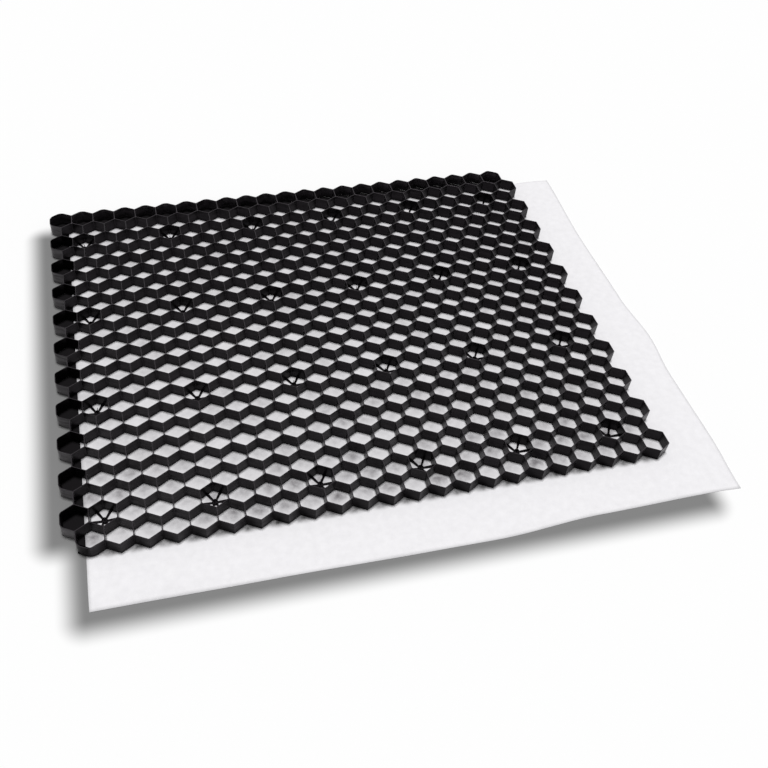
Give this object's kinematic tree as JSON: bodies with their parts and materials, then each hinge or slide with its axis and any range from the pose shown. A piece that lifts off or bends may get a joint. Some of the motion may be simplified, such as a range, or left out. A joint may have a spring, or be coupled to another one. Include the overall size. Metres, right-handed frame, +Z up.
{
  "type": "ground stabilisation grid panel",
  "caption": "Flat moulded honeycomb ground grid with open hexagonal cells, bonded on a thin geotextile sheet that laps out on two sides.",
  "frame": {"origin": "on the floor at the middle of the overall outline, sheet included", "axes": "+X along the longer side, to the right where the sheet laps out; +Y to the back edge of the grid; +Z up out of the open cells"},
  "size_m": [1.2888, 1.072, 0.029],
  "materials": {
    "moulded_plastic": "satin black moulded polypropylene",
    "geotextile": "matt white thermally bonded nonwoven"
  },
  "bodies": {
    "root": {"grid_band_back": "moulded_plastic", "grid_band_middle": "moulded_plastic", "grid_band_front": "moulded_plastic", "geotextile_membrane": "geotextile"}
  },
  "joints": []
}
